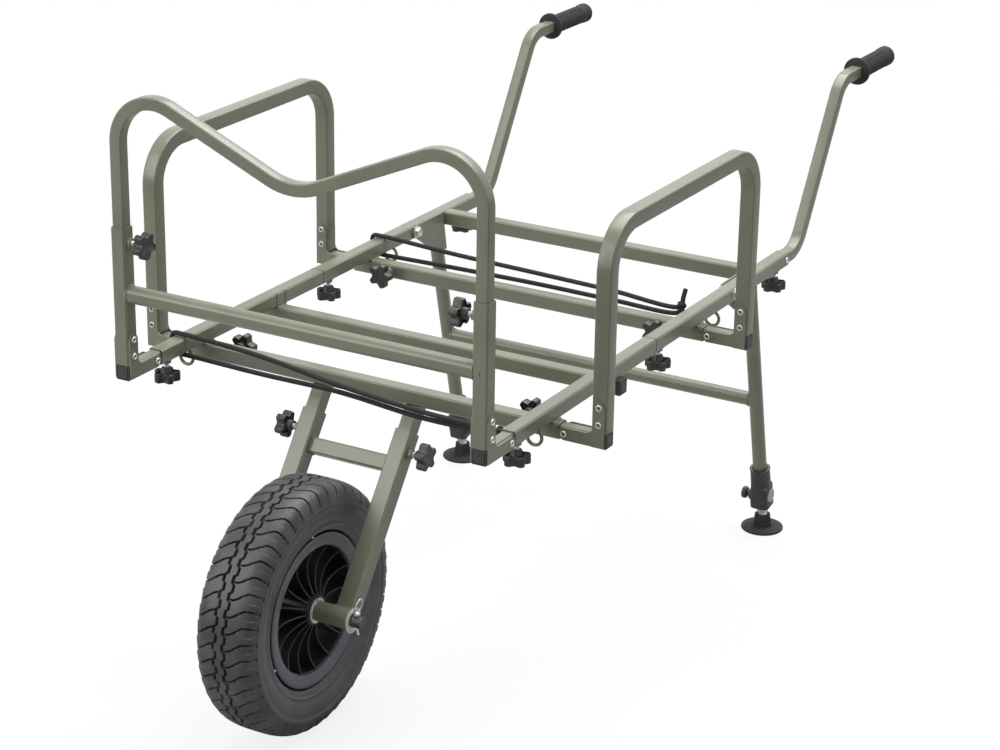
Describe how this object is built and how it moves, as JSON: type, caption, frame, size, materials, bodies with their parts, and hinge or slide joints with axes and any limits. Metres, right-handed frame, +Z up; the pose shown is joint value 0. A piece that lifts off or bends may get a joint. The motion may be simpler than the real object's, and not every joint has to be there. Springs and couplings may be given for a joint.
{
  "type": "fishing trolley",
  "caption": "One-wheel fishing barrow of square steel tube with a rack, hoops, sliding handles, a clamped wheel fork and a folding leg frame.",
  "frame": {"origin": "under the middle of the object's bounding box, on the ground", "axes": "+Z up; -Y towards the wheel end; +X towards the left hand of the person pushing"},
  "size_m": [0.839, 1.7046, 0.9565],
  "materials": {
    "olive_paint": "satin olive grey powder coat",
    "black_plastic": "moulded black plastic, lightly textured",
    "grip_rubber": "ribbed black rubber",
    "foot_rubber": "dark rubber foot",
    "tyre_rubber": "pneumatic tyre with tread blocks",
    "rim_plastic": "moulded black rim",
    "bright_zinc": "bright zinc plate",
    "cord_fabric": "woven black elastic cord"
  },
  "bodies": {
    "frame": {"left_front_rail": "olive_paint", "left_rear_rail": "olive_paint", "left_pivot_bolt": "bright_zinc", "right_front_rail": "olive_paint", "right_rear_rail": "olive_paint", "right_pivot_bolt": "bright_zinc", "front_crossbar": "olive_paint", "mid_crossbar": "olive_paint", "rear_crossbar": "olive_paint", "handle_crossbar": "olive_paint", "front_bungee": "cord_fabric", "rear_bungee": "cord_fabric"},
    "front_rack": {"rack_frame": "olive_paint", "left_rack_block": "black_plastic", "right_rack_block": "black_plastic"},
    "front_hoop": {"front_hoop": "olive_paint"},
    "left_side_hoop": {"left_side_hoop": "olive_paint", "left_front_side_block": "black_plastic", "left_rear_side_block": "black_plastic", "left_front_side_bracket": "olive_paint", "left_rear_side_bracket": "olive_paint"},
    "left_handle": {"left_handle_tube": "olive_paint", "left_grip": "grip_rubber"},
    "right_side_hoop": {"right_side_hoop": "olive_paint", "right_front_side_block": "black_plastic", "right_rear_side_block": "black_plastic", "right_front_side_bracket": "olive_paint", "right_rear_side_bracket": "olive_paint"},
    "right_handle": {"right_handle_tube": "olive_paint", "right_grip": "grip_rubber"},
    "fork": {"wheel_fork": "olive_paint", "axle": "bright_zinc"},
    "wheel": {"tyre": "tyre_rubber", "rim": "rim_plastic"},
    "left_ring_pin": {"left_ring_pin": "bright_zinc"},
    "right_ring_pin": {"right_ring_pin": "bright_zinc"},
    "legs": {"leg_frame": "olive_paint", "left_leg_collar": "black_plastic", "right_leg_collar": "black_plastic"},
    "left_lower_leg": {"left_lower_leg": "bright_zinc"},
    "left_foot": {"left_foot": "foot_rubber"},
    "right_lower_leg": {"right_lower_leg": "bright_zinc"},
    "right_foot": {"right_foot": "foot_rubber"},
    "left_rack_knob": {"left_rack_knob": "black_plastic"},
    "left_frame_knob": {"left_frame_knob": "black_plastic"},
    "left_handle_knob": {"left_handle_knob": "black_plastic"},
    "left_front_side_knob": {"left_front_side_knob": "black_plastic"},
    "left_rear_side_knob": {"left_rear_side_knob": "black_plastic"},
    "left_hoop_knob": {"left_hoop_knob": "black_plastic"},
    "left_fork_knob": {"left_fork_knob": "black_plastic"},
    "left_leg_knob": {"left_leg_knob": "black_plastic"},
    "right_rack_knob": {"right_rack_knob": "black_plastic"},
    "right_frame_knob": {"right_frame_knob": "black_plastic"},
    "right_handle_knob": {"right_handle_knob": "black_plastic"},
    "right_front_side_knob": {"right_front_side_knob": "black_plastic"},
    "right_rear_side_knob": {"right_rear_side_knob": "black_plastic"},
    "right_hoop_knob": {"right_hoop_knob": "black_plastic"},
    "right_fork_knob": {"right_fork_knob": "black_plastic"},
    "right_leg_knob": {"right_leg_knob": "black_plastic"}
  },
  "joints": [
    {"name": "front_rack_slide", "type": "slide", "parent": "frame", "child": "front_rack", "axis": [0, -1, 0], "range_m": [0, 0.12]},
    {"name": "front_hoop_lift", "type": "slide", "parent": "front_rack", "child": "front_hoop", "axis": [0, 0, 1], "range_m": [-0.08, 0.07]},
    {"name": "left_side_hoop_slide", "type": "slide", "parent": "frame", "child": "left_side_hoop", "axis": [1, 0, 0], "range_m": [0, 0.1]},
    {"name": "left_handle_slide", "type": "slide", "parent": "frame", "child": "left_handle", "axis": [0, 1, 0], "range_m": [0, 0.13]},
    {"name": "right_side_hoop_slide", "type": "slide", "parent": "frame", "child": "right_side_hoop", "axis": [-1, 0, 0], "range_m": [0, 0.1]},
    {"name": "right_handle_slide", "type": "slide", "parent": "frame", "child": "right_handle", "axis": [0, 1, 0], "range_m": [0, 0.13]},
    {"name": "fork_slide", "type": "slide", "parent": "frame", "child": "fork", "axis": [0, -0.5878, -0.809], "range_m": [-0.036, 0.055]},
    {"name": "wheel_spin", "type": "hinge", "parent": "fork", "child": "wheel", "pos_m": [0, -0.6523, 0.2], "axis": [1, 0, 0], "continuous": true},
    {"name": "left_ring_pin_pull", "type": "slide", "parent": "fork", "child": "left_ring_pin", "axis": [0, 0, 1], "range_m": [0, 0.03]},
    {"name": "right_ring_pin_pull", "type": "slide", "parent": "fork", "child": "right_ring_pin", "axis": [0, 0, 1], "range_m": [0, 0.03]},
    {"name": "leg_fold", "type": "hinge", "parent": "frame", "child": "legs", "pos_m": [0, 0.19397, 0.512], "axis": [-1, 0, 0], "range_deg": [0, 100]},
    {"name": "left_leg_extension", "type": "slide", "parent": "legs", "child": "left_lower_leg", "axis": [0, 0.2317, -0.9728], "range_m": [0, 0.12]},
    {"name": "left_foot_swivel", "type": "hinge", "parent": "left_lower_leg", "child": "left_foot", "pos_m": [0.317, 0.39078, 0.026], "axis": [1, 0, 0], "range_deg": [-11, 38]},
    {"name": "right_leg_extension", "type": "slide", "parent": "legs", "child": "right_lower_leg", "axis": [0, 0.2317, -0.9728], "range_m": [0, 0.12]},
    {"name": "right_foot_swivel", "type": "hinge", "parent": "right_lower_leg", "child": "right_foot", "pos_m": [-0.317, 0.39078, 0.026], "axis": [1, 0, 0], "range_deg": [-11, 38]},
    {"name": "left_rack_knob_turn", "type": "hinge", "parent": "frame", "child": "left_rack_knob", "pos_m": [0.317, -0.53703, 0.4995], "axis": [0, 0, -1], "range_deg": [0, 540]},
    {"name": "left_frame_knob_turn", "type": "hinge", "parent": "frame", "child": "left_frame_knob", "pos_m": [0.317, -0.07403, 0.4995], "axis": [0, 0, -1], "range_deg": [0, 540]},
    {"name": "left_handle_knob_turn", "type": "hinge", "parent": "frame", "child": "left_handle_knob", "pos_m": [0.317, 0.37997, 0.4995], "axis": [0, 0, -1], "range_deg": [0, 540]},
    {"name": "left_front_side_knob_turn", "type": "hinge", "parent": "frame", "child": "left_front_side_knob", "pos_m": [0.266, -0.42553, 0.487], "axis": [0, 1, 0], "range_deg": [0, 540]},
    {"name": "left_rear_side_knob_turn", "type": "hinge", "parent": "frame", "child": "left_rear_side_knob", "pos_m": [0.266, 0.04347, 0.487], "axis": [0, -1, 0], "range_deg": [0, 540]},
    {"name": "left_hoop_knob_turn", "type": "hinge", "parent": "front_rack", "child": "left_hoop_knob", "pos_m": [0.3045, -0.63603, 0.721], "axis": [-1, 0, 0], "range_deg": [0, 540]},
    {"name": "left_fork_knob_turn", "type": "hinge", "parent": "fork", "child": "left_fork_knob", "pos_m": [0.1, -0.48387, 0.4114], "axis": [1, 0, 0], "range_deg": [0, 540]},
    {"name": "left_leg_knob_turn", "type": "hinge", "parent": "legs", "child": "left_leg_knob", "pos_m": [0.317, 0.38065, 0.0685], "axis": [-1, 0, 0], "range_deg": [0, 540]},
    {"name": "right_rack_knob_turn", "type": "hinge", "parent": "frame", "child": "right_rack_knob", "pos_m": [-0.317, -0.53703, 0.4995], "axis": [0, 0, -1], "range_deg": [0, 540]},
    {"name": "right_frame_knob_turn", "type": "hinge", "parent": "frame", "child": "right_frame_knob", "pos_m": [-0.317, -0.07403, 0.4995], "axis": [0, 0, -1], "range_deg": [0, 540]},
    {"name": "right_handle_knob_turn", "type": "hinge", "parent": "frame", "child": "right_handle_knob", "pos_m": [-0.317, 0.37997, 0.4995], "axis": [0, 0, -1], "range_deg": [0, 540]},
    {"name": "right_front_side_knob_turn", "type": "hinge", "parent": "frame", "child": "right_front_side_knob", "pos_m": [-0.266, -0.42553, 0.487], "axis": [0, 1, 0], "range_deg": [0, 540]},
    {"name": "right_rear_side_knob_turn", "type": "hinge", "parent": "frame", "child": "right_rear_side_knob", "pos_m": [-0.266, 0.04347, 0.487], "axis": [0, -1, 0], "range_deg": [0, 540]},
    {"name": "right_hoop_knob_turn", "type": "hinge", "parent": "front_rack", "child": "right_hoop_knob", "pos_m": [-0.3045, -0.63603, 0.721], "axis": [1, 0, 0], "range_deg": [0, 540]},
    {"name": "right_fork_knob_turn", "type": "hinge", "parent": "fork", "child": "right_fork_knob", "pos_m": [-0.1, -0.48387, 0.4114], "axis": [-1, 0, 0], "range_deg": [0, 540]},
    {"name": "right_leg_knob_turn", "type": "hinge", "parent": "legs", "child": "right_leg_knob", "pos_m": [-0.317, 0.38065, 0.0685], "axis": [1, 0, 0], "range_deg": [0, 540]}
  ]
}
